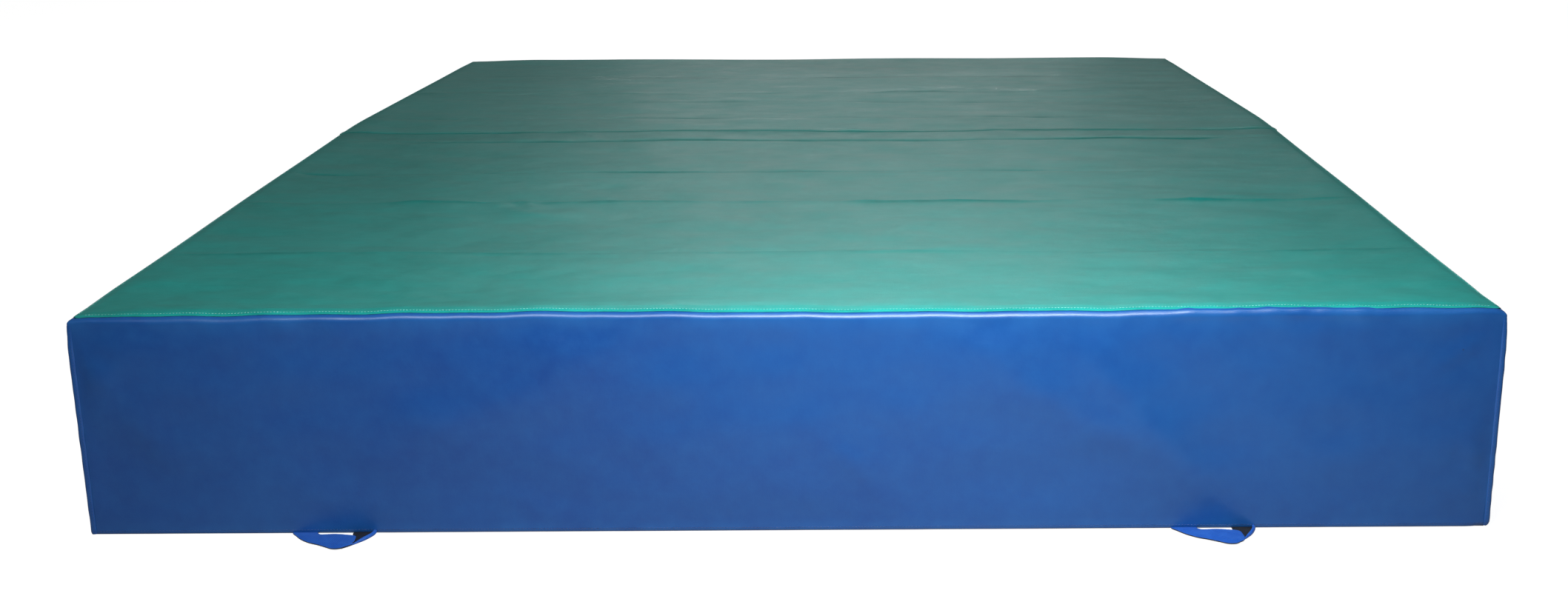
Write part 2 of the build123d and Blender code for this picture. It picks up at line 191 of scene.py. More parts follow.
def fold(x, y, start, end, width, wander, seed):
    """A fold between two points: 1 on its line, dying away over width and towards both ends."""
    ax, ay = end[0] - start[0], end[1] - start[1]
    length = math.hypot(ax, ay)
    ax, ay = ax / length, ay / length
    along = (x - start[0]) * ax + (y - start[1]) * ay
    across = (x - start[0]) * -ay + (y - start[1]) * ax
    across = across + wander * field(along, 0 * along, (0.7 * length, 1), seed, 4)
    taper = smooth(along / (0.35 * length)) * smooth((length - along) / (0.35 * length))
    return taper * np.exp(-np.abs(across / width) ** 1.6)


# Meshes
def link(name, data):
    obj = bpy.data.objects.new(name, data)
    bpy.context.scene.collection.objects.link(obj)
    return obj


def new_mesh(name, verts, faces, mats, parts=None):
    """A mesh whose faces all look outwards. parts is a material index for each face."""
    mesh = bpy.data.meshes.new(name)
    mesh.from_pydata(verts, [], faces)
    if parts is not None:
        mesh.polygons.foreach_set("material_index", np.asarray(parts, np.int32))
    work = bmesh.new()
    work.from_mesh(mesh)
    bmesh.ops.recalc_face_normals(work, faces=work.faces)
    work.to_mesh(mesh)
    work.free()
    for mat in mats:
        mesh.materials.append(mat)
    return mesh


def shade(mesh, sharp=50):
    """Smooth shading, but for edges sharper than this many degrees."""
    mesh.shade_smooth()
    mesh.set_sharp_from_angle(angle=math.radians(sharp))


def join(meshes, target):
    """All the meshes' faces, written into the target."""
    work = bmesh.new()
    for mesh in meshes:
        work.from_mesh(mesh)
    work.to_mesh(target)
    work.free()


def on_cover(obj, slot, node):
    """Puts a piece on the cover's body, in place of a CAD node. Its slot is not used."""
    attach(obj, "cover")
    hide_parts(node)


def grid_faces(rows, cols):
    index = np.arange(rows * cols).reshape(rows, cols)
    corners = index[:-1, :-1], index[:-1, 1:], index[1:, 1:], index[1:, :-1]
    return np.stack(corners, -1).reshape(-1, 4)


def grid_loop(rows, cols):
    """The grid's border, once round."""
    index = np.arange(rows * cols).reshape(rows, cols)
    return np.concatenate([index[0, :-1], index[:-1, -1], index[-1, :0:-1], index[:0:-1, 0]])


def closed_sheet(name, outer, inner, *mats):
    """A closed sheet between two grids of points. Its last material is its inner face's."""
    rows, cols = outer.shape[:2]
    count = rows * cols
    faces, loop = grid_faces(rows, cols), grid_loop(rows, cols)
    turn = np.roll(loop, -1)
    rim = np.stack([loop, loop + count, turn + count, turn], -1)
    everything = np.concatenate([faces, faces[:, ::-1] + count, rim])
    verts = np.concatenate([outer.reshape(-1, 3), inner.reshape(-1, 3)])
    parts = np.zeros(len(everything), int)
    parts[len(faces) :] = len(mats) - 1
    mesh = new_mesh(name, verts.tolist(), everything.tolist(), mats, parts)
    shade(mesh)
    return link(name, mesh)


def rows_between(start, end, step, dense=(), near=0.02, fine=0.003):
    """Places from start to end, step apart, and fine apart within near of each dense place."""
    count = max(2, round(abs(end - start) / step) + 1)
    places = list(np.linspace(start, end, count))
    for middle in dense:
        places += [p for p in np.arange(middle - near, middle + near, fine) if start < p < end]
    places = sorted(places)
    kept = [places[0]]
    for place in places[1:]:
        if place - kept[-1] > 0.6 * fine:
            kept.append(place)
    kept[-1] = places[-1]
    return np.array(kept)


# Materials
WEB_RIB = 0.0016  # pitch of the webbing's ribs


def linear(code):
    """A colour's linear values from its usual hexadecimal code."""
    values = [int(code[i : i + 2], 16) / 255 for i in (0, 2, 4)]
    return [v / 12.92 if v <= 0.04045 else ((v + 0.055) / 1.055) ** 2.4 for v in values] + [1]


class Nodes:
    """A material's node tree, written as calls."""

    def __init__(self, name):
        self.material = bpy.data.materials.new(name)
        self.material.use_nodes = True
        self.tree = self.material.node_tree
        self.shader = self.tree.nodes["Principled BSDF"]
        self.place = self.add("ShaderNodeTexCoord", "Object", {})

    def put(self, socket, value):
        if isinstance(value, bpy.types.NodeSocket):
            self.tree.links.new(value, socket)
        else:
            socket.default_value = value

    def add(self, kind, output, inputs, **settings):
        """An output of a new node, with these values or links put into its inputs."""
        node = self.tree.nodes.new(kind)
        for key, value in settings.items():
            setattr(node, key, value)
        for key, value in inputs.items():
            self.put(node.inputs[key], value)
        return node.outputs[output]

    def noise(self, scale, detail=2.0, stretch=(1, 1, 1), rough=0.5):
        inputs = {"Vector": self.place, "Scale": stretch}
        moved = self.add("ShaderNodeMapping", "Vector", inputs)
        inputs = {"Vector": moved, "Scale": scale, "Detail": detail, "Roughness": rough}
        return self.add("ShaderNodeTexNoise", "Fac", inputs)

    def wave(self, axis, pitch):
        """A sine of the given pitch along an axis, from 0 to 1."""
        inputs = {"Vector": self.place, "Scale": math.tau / (20 * pitch), "Distortion": 0.0}
        return self.add("ShaderNodeTexWave", "Fac", inputs, wave_type="BANDS", bands_direction=axis)

    def ramp(self, value, low, high, first=0.0, last=1.0):
        inputs = {"Value": value, "From Min": low, "From Max": high, "To Min": first, "To Max": last}
        return self.add("ShaderNodeMapRange", "Result", inputs)

    def math(self, kind, a, b):
        return self.add("ShaderNodeMath", 0, {0: a, 1: b}, operation=kind)

    def mix(self, share, a, b):
        inputs = {"Factor": share, "A": a, "B": b}
        return self.add("ShaderNodeMix", "Result", inputs, data_type="RGBA")

    def bump(self, height, distance, strength, normal=None):
        inputs = {"Strength": strength, "Distance": distance, "Height": height}
        if normal is not None:
            inputs["Normal"] = normal
        return self.add("ShaderNodeBump", "Normal", inputs)

    def attribute(self, name):
        return self.add("ShaderNodeAttribute", "Fac", {}, attribute_name=name)

    def finish(self, colour, roughness, normal, **fixed):
        self.put(self.shader.inputs["Base Color"], colour)
        self.put(self.shader.inputs["Roughness"], roughness)
        self.put(self.shader.inputs["Normal"], normal)
        for key, value in fixed.items():
            self.shader.inputs[key.replace("_", " ")].default_value = value
        return self.material


def vinyl(name, deep, lighter, gloss, axes, scrim=0.0024, slubs=0.0, coat=0.5, tint=(0.75, 0.9, 1, 1)):
    """PVC-coated fabric: its woven scrim shows faintly through the coat, with scuffs and wear, and the
    painted highlights and painted shade that its points carry.

    slubs is how much the scrim's thicker threads, which run along X, show.
    """
    m = Nodes(name)
    deep, lighter = linear(deep), linear(lighter)
    broad = m.noise(1.6, 3.0)
    cloud = m.noise(14.0, 4.0)
    scuff = m.noise(9.0, 6.0, stretch=(1.0, 5.0, 2.0), rough=0.75)
    scuffed = m.ramp(scuff, 0.60, 0.78)
    # This attribute lightens the colour: wear along the edges, and painted highlights beside the top's
    # creases and behind its lapped edge
    wear_and_highlight = m.math("MULTIPLY", m.attribute("wear_and_highlight"), m.ramp(cloud, 0.4, 0.7, 0.15, 0.6))
    colour = m.mix(m.ramp(broad, 0.3, 0.7, 0.0, 0.35), deep, lighter)
    colour = m.mix(m.ramp(cloud, 0.35, 0.75, 0.0, 0.16), colour, lighter)
    colour = m.mix(m.math("MULTIPLY", scuffed, 0.22), colour, lighter)
    colour = m.mix(wear_and_highlight, colour, lighter)
    # Painted shade: this attribute darkens the colour beside the top's creases and in front of its lapped
    # edge
    dirt_and_shade = m.math("MULTIPLY", m.attribute("dirt_and_shade"), m.ramp(cloud, 0.35, 0.7, 0.5, 1.0))
    colour = m.mix(dirt_and_shade, colour, [0.6 * part for part in deep[:3]] + [1])
    rough = m.ramp(cloud, 0.3, 0.8, gloss - 0.03, gloss + 0.07)
    rough = m.math("ADD", rough, m.math("MULTIPLY", scuffed, 0.12))
    weave = m.math("MULTIPLY", m.wave(axes[0], scrim), m.wave(axes[1], scrim))
    mottle = m.noise(42.0, 4.0, rough=0.6)
    colour = m.mix(m.ramp(mottle, 0.35, 0.7, 0.0, 0.22), colour, lighter)
    normal = m.bump(mottle, 0.0008, 0.35, m.bump(m.noise(170.0, 3.0), 0.0006, 0.25))
    if slubs:
        long = m.noise(14.0, 3.0, stretch=(1.0, 13.0, 1.0), rough=0.6)
        fine = m.noise(45.0, 2.0, stretch=(1.0, 14.0, 1.0), rough=0.6)
        thick = m.math("MULTIPLY", m.math("ADD", m.ramp(long, 0.5, 0.75), m.ramp(fine, 0.55, 0.8)), slubs)
        colour = m.mix(thick, colour, deep)
        normal = m.bump(m.math("ADD", long, fine), 0.0010, 0.35, normal)
    normal = m.bump(weave, 0.00006, 0.3, normal)
    return m.finish(colour, rough, normal, Specular_Tint=tint, Coat_Weight=coat, Coat_Roughness=0.26)


def webbing(name, colour, light):
    """Flat woven webbing with ribs across it."""
    m = Nodes(name)
    ribs = m.math("MULTIPLY", m.wave("DIAGONAL", WEB_RIB), m.wave("X", 0.7 * WEB_RIB))
    dirt_and_shade = m.noise(60.0, 4.0)
    shade = m.mix(m.ramp(ribs, 0.1, 0.9, 0.0, 0.6), linear(colour), linear(light))
    shade = m.mix(m.ramp(dirt_and_shade, 0.45, 0.8, 0.0, 0.3), shade, linear(light))
    normal = m.bump(ribs, 0.0004, 0.6, m.bump(dirt_and_shade, 0.0008, 0.3))
    return m.finish(shade, m.ramp(dirt_and_shade, 0.3, 0.7, 0.42, 0.6), normal, Sheen_Weight=0.05)


def thread_material(name, colour, light):
    m = Nodes(name)
    twist = m.wave("DIAGONAL", 0.0007)
    tone = m.mix(m.ramp(m.math("ADD", twist, m.noise(300.0)), 0.4, 1.4), linear(colour), linear(light))
    tone = m.mix(m.ramp(m.noise(11.0, 3.0), 0.42, 0.6, 0.1, 0.75), tone, linear(colour))
    return m.finish(tone, 0.42, m.bump(twist, 0.0002, 0.6), Sheen_Weight=0.3)


def foam_material(name, colour, pore_shade, size):
    m = Nodes(name)
    cells = m.add("ShaderNodeTexVoronoi", "Distance", {"Vector": m.place, "Scale": 1 / size})
    hole = m.ramp(cells, 0.1, 0.55)
    # The pores get the darker colour as painted shade; the noise below also mixes it in as a random tone
    tone = m.mix(hole, linear(pore_shade), linear(colour))
    tone = m.mix(m.ramp(m.noise(5.0, 4.0), 0.4, 0.8, 0.0, 0.25), tone, linear(pore_shade))
    return m.finish(tone, m.ramp(hole, 0.0, 1.0, 0.97, 0.85), m.bump(hole, 0.4 * size, 0.8))


def metal(name, colour, rough, stretch):
    m = Nodes(name)
    brush = m.noise(700.0, 3.0, stretch=stretch)
    spots = m.noise(160.0, 5.0)
    tone = m.mix(m.ramp(spots, 0.5, 0.8, 0.0, 0.45), linear(colour), linear("55534e"))
    shine = m.ramp(brush, 0.3, 0.7, rough - 0.06, rough + 0.08)
    roughness = m.math("ADD", shine, m.ramp(spots, 0.55, 0.8, 0.0, 0.2))
    return m.finish(tone, roughness, m.bump(brush, 0.0001, 0.3), Metallic=1.0)


def plastic(name, colour, light):
    m = Nodes(name)
    grain = m.noise(900.0, 3.0)
    tone = m.mix(m.ramp(grain, 0.35, 0.7), linear(colour), linear(light))
    return m.finish(tone, m.ramp(grain, 0.3, 0.7, 0.32, 0.5), m.bump(grain, 0.0001, 0.4))


def tape_material(name, colour, light):
    """Woven zip tape with a fine herringbone."""
    m = Nodes(name)
    weave = m.math("MULTIPLY", m.wave("X", 0.0008), m.wave("Z", 0.0011))
    tone = m.mix(m.ramp(weave, 0.1, 0.8), linear(colour), linear(light))
    tone = m.mix(m.ramp(m.noise(40.0, 4.0), 0.4, 0.8, 0.0, 0.3), tone, linear(light))
    return m.finish(tone, 0.75, m.bump(weave, 0.0003, 0.7), Sheen_Weight=0.3)


GREEN_LOOK = {"slubs": 0.45, "coat": 0.04, "tint": (0.6, 1, 0.97, 1)}
GREEN = vinyl("green_vinyl", "057b73", "1da69f", 0.42, ("X", "Y"), **GREEN_LOOK)
BLUE_X = vinyl("blue_vinyl", "063f87", "1a5fa3", 0.36, ("X", "Z"))
BLUE_Y = vinyl("blue_vinyl_side", "063f87", "1a5fa3", 0.36, ("Y", "Z"))
BASE = vinyl("base_vinyl", "152f63", "2a4a86", 0.6, ("X", "Y"), scrim=0.004)
BACKING = vinyl("vinyl_backing", "16305f", "27457c", 0.7, ("X", "Z"))
GREEN_BACKING = vinyl("green_backing", "175c55", "2b7a72", 0.7, ("X", "Y"))
STRAP = webbing("webbing_face", "0a4aa6", "1e6cc6")
# The webbing's reverse side is near-black; that darkness also stands in for the shade inside the folded leg
# and along the strap's edges
STRAP_BACK_SHADED = webbing("webbing_back_shaded", "030508", "0b0f16")
GREEN_THREAD = thread_material("green_thread", "3fa79d", "b4e4df")
LAP_THREAD = thread_material("lap_thread", "1b6f66", "3a8f86")
BLUE_THREAD = thread_material("blue_thread", "143273", "2c559f")
SOFT_FOAM = foam_material("soft_foam", "e9e0bd", "b7a877", 0.0035)
LANDING_FOAM = foam_material("landing_foam", "8b9299", "565d66", 0.0018)
ZIP_TAPE = tape_material("zip_tape", "0e1420", "232c3d")
ZIP_TEETH = plastic("zip_teeth", "11161f", "2a303b")
ZIP_METAL = metal("zip_metal", "b9babc", 0.3, (14, 1, 1))
EYELET_METAL = metal("eyelet_metal", "c4c4c0", 0.26, (1, 1, 14))


def set_wear_and_shading(obj, values, name="wear_and_highlight"):
    """Stores how worn each point is, from 0 to 1, for the vinyl's material, with any painted highlight. Or
    how strong its painted shade is.
    """
    values = np.concatenate([values.ravel()] * 2).astype(np.float32)
    obj.data.attributes.new(name, "FLOAT", "POINT").data.foreach_set("value", values)


# Green top. Its creases lie across the mat, where it was folded: place along Y, height of the
# ridge, its half width, and the stretch along X that it is sharp over.
CREASES = (
    (-1.118, 0.0010, 0.006, -1.0, 1.0),
    (-0.732, 0.0026, 0.009, -0.75, 1.0),
    (-0.450, -0.0020, 0.006, -1.0, 0.75),
    (-0.102, -0.0026, 0.007, -0.9, 0.9),
    (0.0, 0.0020, 0.032, -1.1, 1.1),
    (0.210, -0.0020, 0.009, -1.0, 0.85),
    (0.501, -0.0022, 0.012, -0.5, 1.0),
    (0.669, 0.0030, 0.012, -1.0, 1.0),
    (1.020, 0.0018, 0.016, -0.8, 0.9),
)
# Small folds that were pressed into the top: both ends, height and half width
TOP_FOLDS = (
    ((-0.62, -1.33), (-0.54, -1.42), 0.0016, 0.008),
    ((-0.57, -1.31), (-0.49, -1.43), 0.0020, 0.009),
    ((-0.66, -1.36), (-0.70, -1.44), 0.0012, 0.010),
    ((-0.52, -0.70), (-0.44, -0.80), 0.0030, 0.010),
    ((-0.58, -0.73), (-0.40, -0.86), 0.0020, 0.014),
    ((-0.70, -0.82), (-0.52, -0.86), 0.0016, 0.012),
    ((-0.50, 0.00), (-0.42, -0.10), 0.0030, 0.010),
    ((-0.66, -0.20), (-0.48, -0.32), 0.0014, 0.016),
    ((0.10, -1.10), (0.26, -0.74), 0.0022, 0.022),
    ((0.16, -0.98), (0.33, -0.72), 0.0020, 0.014),
    ((0.04, -1.12), (0.30, -1.08), 0.0018, 0.009),
    ((0.62, -0.74), (0.84, -0.70), 0.0022, 0.012),
    ((0.66, -0.78), (0.74, -0.64), 0.0016, 0.012),
    ((0.72, -1.22), (0.80, -1.32), 0.0014, 0.012),
    ((0.50, -1.24), (0.60, -1.30), 0.0010, 0.012),
    ((0.35, 0.05), (0.45, -0.08), 0.0016, 0.014),
    ((-0.10, 0.55), (0.10, 0.44), 0.0020, 0.020),
    ((0.55, 0.82), (0.70, 0.70), 0.0020, 0.020),
)


def crease(number, x, y):
    """How strong a crease is along X, and how far y lies behind it."""
    place, _, _, start, end = CREASES[number]
    wander = 0.004 * field(x, 0 * x, (0.8, 1), 20 + number, 4)
    share = 0.7 + 0.3 * np.clip(field(x, 0 * x, (0.45, 1), 40 + number, 5), -1, 1)
    sharp = 0.35 + 0.65 * smooth((x - start) / 0.1) * smooth((end - x) / 0.1)
    return share * sharp, y - place - wander


def crease_shading(x, y):
    """Painted highlight and painted shade beside each crease: a ridge gets the highlight behind it and the
    shade in front, a hollow the other way round.
    """
    pale, dirt_and_shade = np.zeros(x.shape), np.zeros(x.shape)
    for number, (_, rise, width, _, _) in enumerate(CREASES):
        if width > 0.03:  # the swelling along the seam in the middle
            continue
        share, gap = crease(number, x, y)
        line = share * np.exp(-np.abs(gap - 0.6 * width) / (0.7 * width))
        under = share * np.exp(-np.abs(gap + 0.6 * width) / (0.7 * width))
        pale = np.maximum(pale, line if rise > 0 else 0.4 * under)
        dirt_and_shade = np.maximum(dirt_and_shade, under if rise > 0 else line)
    # The lapped edge in the middle: painted shade in front, and a painted highlight behind
    dirt_and_shade = np.maximum(dirt_and_shade, 0.45 * smooth((y + 0.085) / 0.015) * (y < -LAP))
    pale = np.maximum(pale, bell((y + LAP) / 0.05) * (y >= -LAP))
    return pale, dirt_and_shade


def top_relief(x, y):
    """Height of the creases and waves of the loose green top over the foam."""
    height = 0.0011 * field(x, y, (0.9, 0.5), 1) + 0.0006 * field(x, y, (0.30, 0.12), 2)
    height += 0.00022 * field(x, y, (0.10, 0.035), 3, 14)
    for number, (place, rise, width, _, _) in enumerate(CREASES):
        share, gap = crease(number, x, y)
        height += 2.0 * rise * share * np.exp(-np.abs(gap) / width)
        height += 0.35 * abs(rise) * bell(gap / (9 * width))
    for number, (start, end, rise, width) in enumerate(TOP_FOLDS):
        height += rise * fold(x, y, start, end, width, 0.006, 60 + number)
    # The hem makes a low step, puffs up beside its seam, and is held down on the blue at its edge
    inset = inside(x, y)
    height = height * smooth((inset - GREEN_EDGE) / 0.06)
    height += 0.0005 * smooth((GREEN_EDGE + GREEN_HEM - inset) / 0.003)
    puff = PUFF * smooth((inset - GREEN_EDGE) / 0.026) * bell(inset / 0.08)
    pressed = HELD_DOWN * smooth((GREEN_EDGE + 0.002 - inset) / 0.002)
    return height + puff * (0.3 + 0.7 * off_corner(x, y, 0.12)) - pressed


def rounded_corner(x, y):
    """The green's outline: its square corners pulled in to a quarter circle."""
    ax, ay = HALF_W - GREEN_EDGE - GREEN_CORNER, HALF_L - GREEN_EDGE - GREEN_CORNER
    qx, qy = (np.abs(x) - ax) / GREEN_CORNER, (np.abs(y) - ay) / GREEN_CORNER
    both = (qx > 0) & (qy > 0)
    shrink = np.where(both, np.maximum(qx, qy) / np.maximum(np.hypot(qx, qy), 1e-9), 1.0)
    return (
        np.where(both, np.sign(x) * (ax + qx * GREEN_CORNER * shrink), x),
        np.where(both, np.sign(y) * (ay + qy * GREEN_CORNER * shrink), y),
    )


def top_panel(name, node, start, end):
    """One of the two widths of the green top. The back one lies over the front one's edge."""
    edge_x, edge_y = HALF_W - GREEN_EDGE, HALF_L - GREEN_EDGE
    columns = rows_between(-edge_x, edge_x, 0.014, [-edge_x + 0.013, edge_x - 0.013], 0.020, 0.003)
    dense = [place for place, *_ in CREASES] + [-edge_y + 0.013, edge_y - 0.013, 0.0]
    x, y = rounded_corner(*np.meshgrid(columns, rows_between(start, end, 0.012, dense, 0.018, 0.003)))
    lift = top_relief(x, y)
    if end > LAP:
        lift = lift + LAP_STEP * smooth((3 * LAP - y) / (1.5 * LAP))
        lift = lift - HELD_DOWN * smooth((0.002 - LAP - y) / 0.002)
    else:
        lift = lift - 0.1 * VINYL * smooth((y + 2 * LAP) / LAP)
    outer, inner = cover(x, y, HEIGHT, lift), cover(x, y, HEIGHT, lift - SKIN)
    obj = closed_sheet(name, outer, inner, GREEN, GREEN_BACKING)
    # Wear along the green's edge, and painted highlights and painted shade beside the creases and the
    # lapped edge
    pale, dirt_and_shade = crease_shading(x, y)
    set_wear_and_shading(obj, np.maximum(smooth((GREEN_EDGE + 0.014 - inside(x, y)) / 0.012), pale))
    set_wear_and_shading(obj, dirt_and_shade, "dirt_and_shade")
    on_cover(obj, "green_vinyl", node)


top_panel("top_cover_front", "top_panel_front", -HALF_L + GREEN_EDGE, LAP)
top_panel("top_cover_back", "top_panel_back", -LAP, HALF_L - GREEN_EDGE)


# Blue sides. A side has its own along and out directions, like the CAD's handle planes.
SIDES = {
    "front": ((1, 0), (0, -1), HALF_W, HALF_L),
    "back": ((-1, 0), (0, 1), HALF_W, HALF_L),
    "left": ((0, -1), (-1, 0), HALF_L, HALF_W),
    "right": ((0, 1), (1, 0), HALF_L, HALF_W),
}
# Folds of the front: both ends as (X, Z), height and half width. Positive ones stand out.
FRONT_FOLDS = (
    ((0.16, 0.33), (0.62, 0.05), 0.0042, 0.055),
    ((0.36, 0.33), (0.66, -0.02), 0.0034, 0.040),
    ((-0.14, 0.33), (-0.66, 0.08), 0.0034, 0.060),
    ((0.04, 0.16), (0.17, 0.00), 0.0016, 0.014),
    ((0.10, 0.18), (0.14, 0.06), 0.0010, 0.012),
    ((0.885, 0.228), (0.975, 0.290), 0.0022, 0.007),
    ((0.86, 0.262), (0.93, 0.262), 0.0008, 0.010),
    ((0.950, 0.140), (0.995, 0.095), 0.0020, 0.010),
    ((0.930, 0.100), (0.99, 0.130), -0.0012, 0.012),
    ((0.915, 0.045), (0.950, -0.01), 0.0026, 0.008),
    ((-0.99, 0.300), (-0.94, 0.245), -0.0022, 0.016),
    ((-0.995, 0.235), (-0.93, 0.215), 0.0018, 0.014),
    ((-0.93, 0.20), (-0.86, 0.08), 0.0010, 0.025),
    ((-0.45, 0.06), (-0.30, 0.01), 0.0010, 0.020),
    ((0.30, 0.04), (0.48, 0.01), 0.0010, 0.022),
)
# Puckers in the shoulder under the front's top seam: place along X and slant
SHOULDER_PUCKERS = ((0.555, 0.5), (0.625, -0.4), (0.668, 0.9), (0.715, -0.7), (0.742, 0.6), (0.80, -0.5))


def side_relief(side, a, t):
    """How far a side panel stands out of its plane. t runs down from the sharp top edge."""
    z = HEIGHT - np.maximum(t, 0)
    seed = {"front": 100, "left": 200, "right": 300, "back": 400}[side]
    height = 0.0011 * field(a, z, (0.75, 0.35), seed + 1) + 0.0004 * field(a, z, (0.16, 0.10), seed + 2)
    half = SIDES[side][2]
    if side == "front":
        height += sum(
            (1.7 if width > 0.02 else 1.0) * rise * fold(a, z, start, end, width, 0.004, seed + 10 + number)
            for number, (start, end, rise, width) in enumerate(FRONT_FOLDS)
        )
    else:
        rng = np.random.default_rng(seed + 5)
        for number in range(10):
            middle, lean = rng.uniform(-0.85 * half, 0.85 * half), rng.uniform(-0.3, 0.3)
            start, end = (middle - lean, 0.33), (middle + lean, rng.uniform(-0.02, 0.12))
            rise, width = rng.uniform(0.001, 0.003), rng.uniform(0.025, 0.06)
            height += rise * fold(a, z, start, end, width, 0.006, seed + 30 + number)
    down = smooth((t - 0.004) / 0.05) * smooth((HEIGHT - 0.012 - t) / 0.05)
    height = height * down * smooth((half - 0.006 - np.abs(a)) / 0.03)
    # The zip and the vents hold the fabric flat
    if side == "back":
        height = height * smooth((np.abs(z - unsagged(ZIP_HEIGHT, HALF_L)) - 0.024) / 0.05)
    if side in ("left", "right"):
        for place in VENT_PLACES:
            gap = np.hypot(a - place, z - unsagged(VENT_HEIGHT, place))
            height = height * smooth((gap - 0.012) / 0.04)
    # Gathers of the seams: fine vertical ripples under the top seam and over the floor seam
    gather = 0.55 * field(a, 0 * a, (0.05, 1), seed + 7, 12)
    gather = gather + 0.45 * field(a, 0 * a, (0.23, 1), seed + 8, 6)
    height += 0.0004 * gather * (bell((t - 0.024) / 0.016) + bell((HEIGHT - 0.016 - t) / 0.012))
    if side == "front":
        for place, slant in SHOULDER_PUCKERS:
            gap = a - place - slant * (t + 0.004)
            height += 0.0014 * bell(gap / 0.009) * bell((t - 0.001) / 0.012)
        loose = smooth((a - 0.50) / 0.06) * smooth((0.86 - a) / 0.06)
        height += 0.0014 * loose * bell((t - 0.002) / 0.012)
    return height


def side_places(side, a, t):
    """The sharp box's points of a side panel, mitred where it runs on under the top."""
    along, out, half, reach = SIDES[side]
    on_top = np.maximum(-t, 0)
    at_end = smooth((np.abs(a) - half + 0.05) / 0.0465)
    # The panels' ends meet over the top edge, and stand apart under the corner's strip
    a = a + np.sign(a) * at_end * ((CORNER_GAP - 0.0004) * smooth((0.016 - t) / 0.006) - on_top)
    x = along[0] * a + out[0] * (reach - on_top)
    y = along[1] * a + out[1] * (reach - on_top)
    return x, y, HEIGHT - np.maximum(t, 0)


def side_columns(side):
    end = SIDES[side][2] - CORNER_GAP
    return rows_between(-end, end, 0.010, [-end + 0.01, end - 0.01], 0.01, 0.002)


def side_panel(name, node, side, rows):
    """A blue panel. rows holds one distance from the top for each row, or a whole row of them.

    height is the flat panel's.
    """
    half, columns = SIDES[side][2], side_columns(side)
    a, t = np.meshgrid(columns, rows) if rows.ndim == 1 else (columns + 0 * rows, rows)
    x, y, z = side_places(side, a, t)
    lift = -VINYL + side_relief(side, a, t) - 0.0002 * smooth((0.004 - t) / 0.02)
    skin = BLUE_X if side in ("front", "back") else BLUE_Y
    obj = closed_sheet(name, cover(x, y, z, lift), cover(x, y, z, lift - SKIN), skin, BACKING)
    wear_and_highlight = np.maximum(smooth((0.03 - np.abs(t - 0.008)) / 0.03), smooth((np.abs(a) - half + 0.012) / 0.01))
    set_wear_and_shading(obj, np.maximum(wear_and_highlight, smooth((t - HEIGHT + 0.02) / 0.018)))
    on_cover(obj, "blue_vinyl", node)


FOOT_ROWS = HEIGHT - np.array([0.020, 0.014, 0.010, 0.0075, 0.006, 0.0045, 0.003, 0.002, 0.001])
SHOULDER_ROWS, MIDDLE_ROWS = np.linspace(-TUCK, 0.034, 30), np.linspace(0.042, HEIGHT - 0.028, 27)
SIDE_ROWS = np.concatenate([SHOULDER_ROWS, MIDDLE_ROWS, FOOT_ROWS])
for side in ("front", "left", "right"):
    side_panel(f"{side}_side", f"{side}_side_panel", side, SIDE_ROWS)


def back_panels():
    """The back is in two panels, with the zip between their turned-in edges."""
    columns = side_columns("back")
    top_t = HEIGHT - unsagged(ZIP_HEIGHT + (ZIP_HEIGHT - ZIP_EDGE), HALF_L)
    low_t = HEIGHT - unsagged(ZIP_EDGE, HALF_L)
    # The upper panel runs down past both ends of the zip
    beside = smooth((np.abs(columns) - ZIP_HALF - 0.012) / 0.008)
    last = top_t + (low_t - 0.0005 - top_t) * beside
    shoulder = np.repeat(np.linspace(-TUCK, 0.034, 22)[:, None], len(columns), 1)
    shares = np.concatenate([np.linspace(0.06, 0.9, 14), [0.95, 0.98, 1.0]])[:, None]
    upper = np.concatenate([shoulder, 0.034 + shares * (last - 0.034)])
    lower = np.concatenate([np.linspace(low_t, HEIGHT - 0.028, 14), FOOT_ROWS])
    side_panel("back_side_upper", "back_panel_upper", "back", upper)
    side_panel("back_side_lower", "back_panel_lower", "back", lower)


back_panels()


def punch_vents(side):
    """Cuts the vents' holes through a long side."""
    cutter = bmesh.new()
    for place in VENT_PLACES:
        x = SIDES[side][1][0] * HALF_W
        spot = Matrix.Translation((x, place, VENT_HEIGHT)) @ Matrix.Rotation(math.pi / 2, 4, "Y")
        size = {"radius1": VENT_CUT, "radius2": VENT_CUT, "depth": 0.02}
        bmesh.ops.create_cone(cutter, cap_ends=True, segments=32, matrix=spot, **size)
    mesh = bpy.data.meshes.new("cutter")
    cutter.to_mesh(mesh)
    cutter.free()
    tool = link("cutter", mesh)
    obj = bpy.data.objects[f"{side}_side"]
    change = obj.modifiers.new("holes", "BOOLEAN")
    change.operation, change.solver, change.object = "DIFFERENCE", "EXACT", tool
    bpy.context.view_layer.update()
    cut = bpy.data.meshes.new_from_object(obj.evaluated_get(bpy.context.evaluated_depsgraph_get()))
    obj.modifiers.clear()
    obj.data = cut
    bpy.data.objects.remove(tool)


for side in ("left", "right"):
    punch_vents(side)

# Folded strips round the upright corners, with their two rows of stitching
CORNERS = {"front_left": (-1, -1), "front_right": (1, -1), "back_left": (-1, 1), "back_right": (1, 1)}
BINDING_TOP = 0.010  # its end, below the sharp top edge


def corner_place(corner, p):
    """A point of the sharp box's outline p from a corner: on the short side for p < 0."""
    sx, sy = CORNERS[corner]
    return sx * (HALF_W - np.maximum(-p, 0)), sy * (HALF_L - np.maximum(p, 0))


